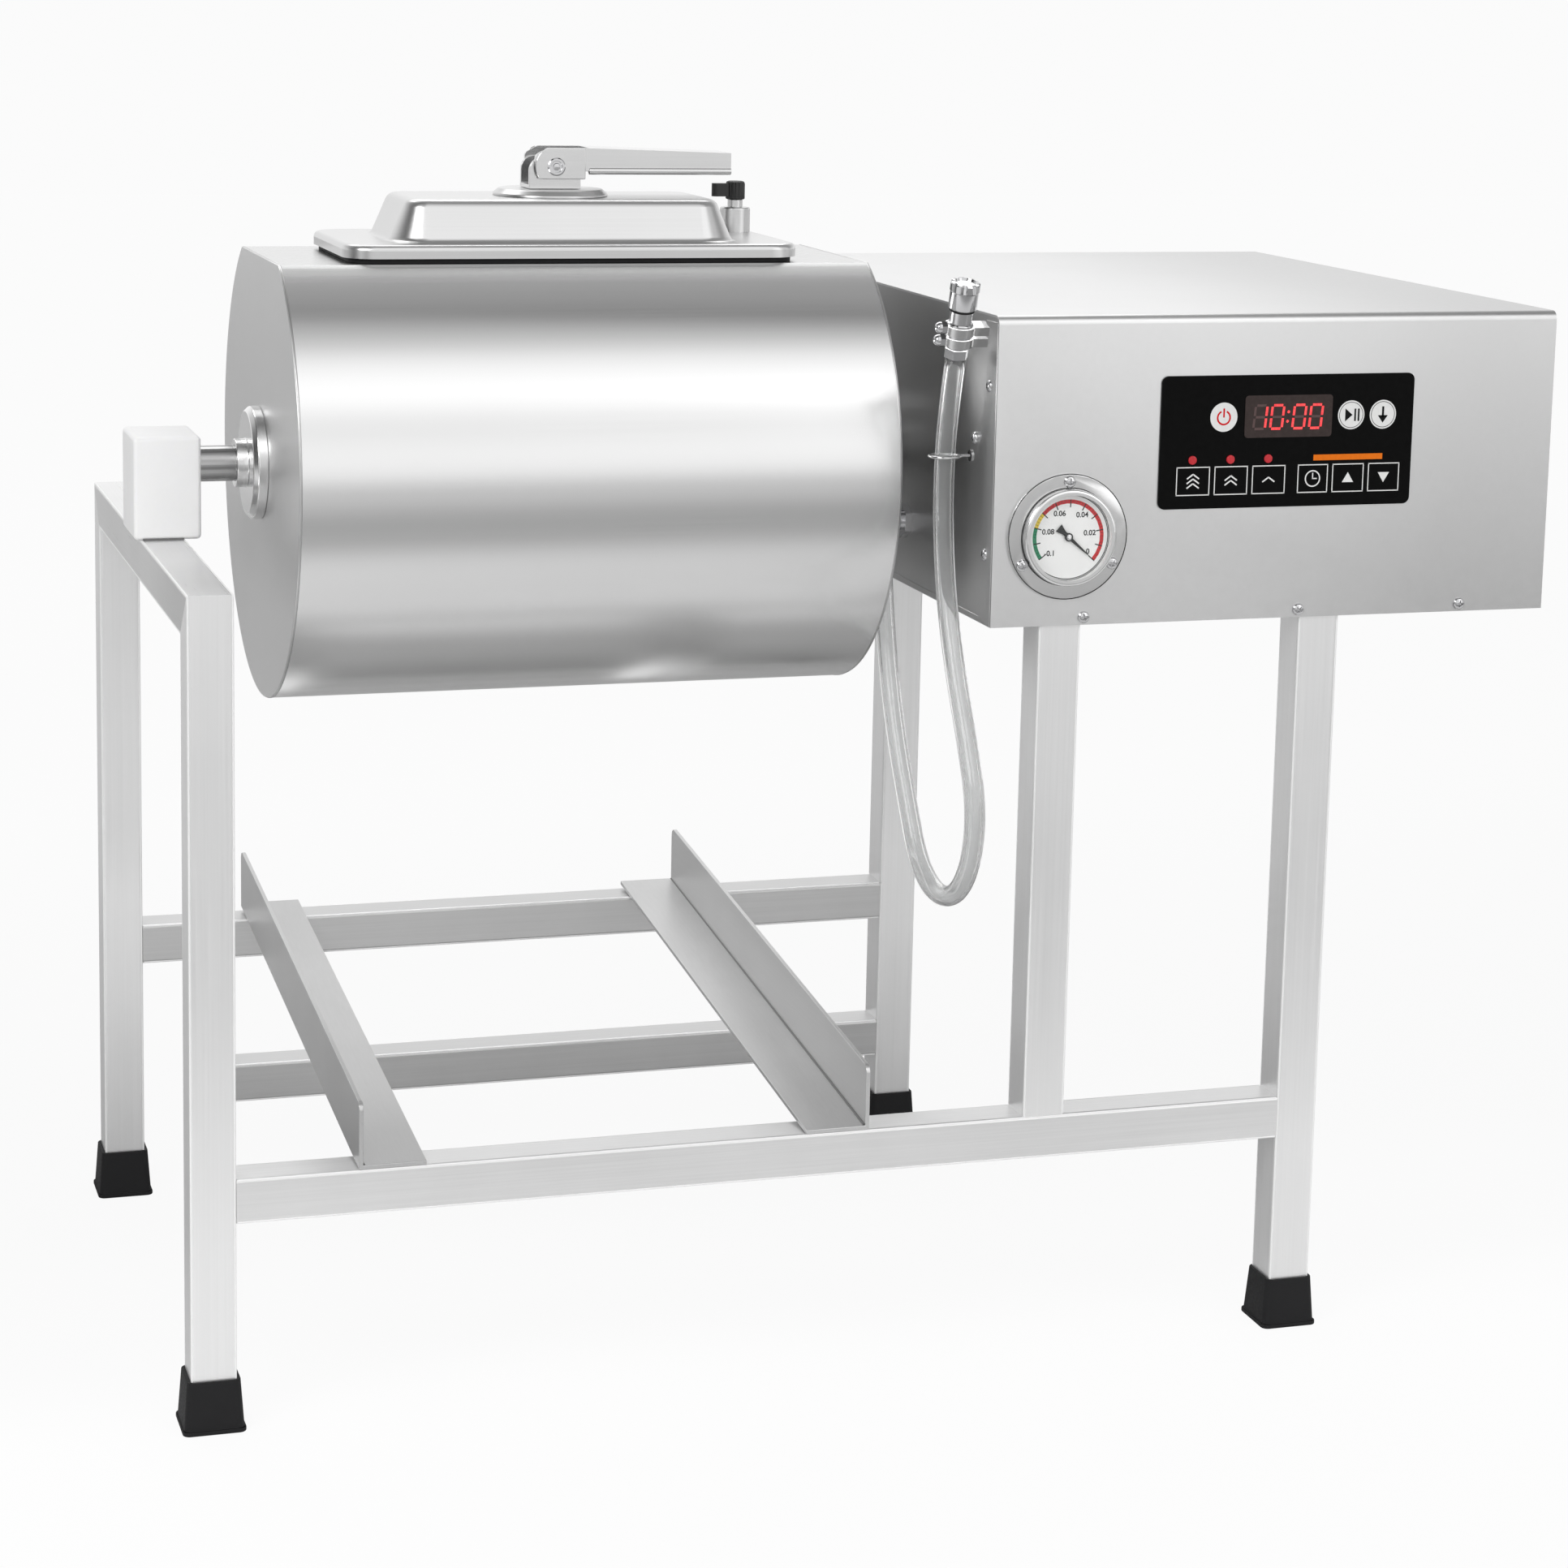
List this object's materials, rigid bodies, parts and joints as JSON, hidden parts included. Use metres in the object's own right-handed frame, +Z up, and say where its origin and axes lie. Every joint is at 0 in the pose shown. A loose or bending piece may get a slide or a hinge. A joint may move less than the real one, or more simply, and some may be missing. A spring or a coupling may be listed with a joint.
{
  "type": "meat vacuum tumbler",
  "caption": "Meat vacuum tumbler: a steel drum with a clamped lid, driven from a sheet steel box on a square tube stand with tray rails.",
  "frame": {"origin": "on the floor, under the outer front corner of the left front leg", "axes": "+X from the plastic bearing block to the box, +Y from the front to the rear, +Z up"},
  "size_m": [0.9568, 0.5548, 0.8218],
  "materials": {
    "frame_steel": "satin ground square tube",
    "feet_rubber": "matt black",
    "block_plastic": "white polyethylene",
    "fastener_steel": "bright",
    "box_steel": "brushed sheet",
    "gland_plastic": "black",
    "keypad_film": "gloss black film",
    "display_film": "smoked window",
    "lamp_red": "red lamp",
    "board_green": "lacquered board",
    "gauge_chrome": "polished",
    "gauge_glass": "clear",
    "dial_white": "white printed",
    "needle_black": "black",
    "bearing_iron": "painted",
    "gearbox_metal": "cast, painted grey",
    "motor_metal": "cast, painted grey",
    "bracket_steel": "zinc plated",
    "clip_chrome": "polished",
    "hose_clear": "clear soft PVC",
    "drum_steel": "fine satin",
    "lid_steel": "fine satin",
    "lid_rubber": "matt black",
    "knob_plastic": "black moulded"
  },
  "bodies": {
    "frame": {"front_left_leg": "frame_steel", "rear_left_leg": "frame_steel", "portal_beam": "frame_steel", "front_rail": "frame_steel", "rear_upper_rail": "frame_steel", "rear_lower_rail": "frame_steel", "rear_rail_hanger": "frame_steel", "right_front_leg": "frame_steel", "front_post": "frame_steel", "rear_right_leg": "frame_steel", "rear_post": "frame_steel", "left_tray_angle": "frame_steel", "right_tray_angle": "frame_steel", "rubber_feet": "feet_rubber", "bearing_block": "block_plastic", "block_bolts": "fastener_steel", "panel_screws": "fastener_steel", "box_cover": "box_steel", "box_left_panel": "box_steel", "box_right_panel": "box_steel", "box_rear_panel": "box_steel", "box_base_tray": "box_steel", "cable_gland": "gland_plastic", "keypad_panel": "keypad_film", "display_window": "display_film", "indicator_lamps": "lamp_red", "control_board": "board_green", "gauge_case": "gauge_chrome", "gauge_bezel": "gauge_chrome", "gauge_lens": "gauge_glass", "gauge_dial": "dial_white", "drive_bearing": "bearing_iron", "gearbox": "gearbox_metal", "drive_motor": "motor_metal", "vacuum_pump": "motor_metal", "motor_bracket": "bracket_steel", "hose_holders": "clip_chrome", "hose_elbow": "clip_chrome", "nozzle_body": "clip_chrome", "nozzle_cap": "clip_chrome", "vacuum_hose": "hose_clear"},
    "drum": {"drum_shell": "drum_steel", "drum_flat": "drum_steel", "drum_left_end": "drum_steel", "drum_right_end": "drum_steel", "opening_collar": "drum_steel", "drum_baffles": "drum_steel", "hub_flanges": "drum_steel", "stub_shaft": "drum_steel", "drive_shaft": "drum_steel"},
    "lid": {"lid_shell": "lid_steel", "lid_gasket": "lid_rubber", "clamp_disc": "lid_steel", "valve_body": "lid_steel"},
    "clamp": {"clamp_fork": "lid_steel", "clamp_bar": "lid_steel"},
    "lever": {"clamp_lever": "lid_steel", "lever_pin": "fastener_steel"},
    "valve": {"valve_knob": "knob_plastic"},
    "needle": {"gauge_needle": "needle_black"}
  },
  "joints": [
    {"name": "drum_spin", "type": "hinge", "parent": "frame", "child": "drum", "pos_m": [0.2945, 0.25, 0.602], "axis": [1, 0, 0], "continuous": true},
    {"name": "lid_lift", "type": "slide", "parent": "drum", "child": "lid", "axis": [0, 0, 1], "range_m": [0, 0.08]},
    {"name": "clamp_swivel", "type": "hinge", "parent": "lid", "child": "clamp", "pos_m": [0.2915, 0.25, 0.79], "axis": [0, 0, 1], "range_deg": [0, 90]},
    {"name": "lever_flip", "type": "hinge", "parent": "clamp", "child": "lever", "pos_m": [0.2915, 0.25, 0.8088], "axis": [0, -1, 0], "range_deg": [0, 90]},
    {"name": "valve_turn", "type": "hinge", "parent": "lid", "child": "valve", "pos_m": [0.44, 0.292, 0.79], "axis": [0, 0, 1], "range_deg": [0, 90]},
    {"name": "gauge_needle_turn", "type": "hinge", "parent": "frame", "child": "needle", "pos_m": [0.59, -0.006, 0.576], "axis": [0, -1, 0], "range_deg": [0, 262], "stiffness_Nm_per_rad": 0.0005}
  ]
}
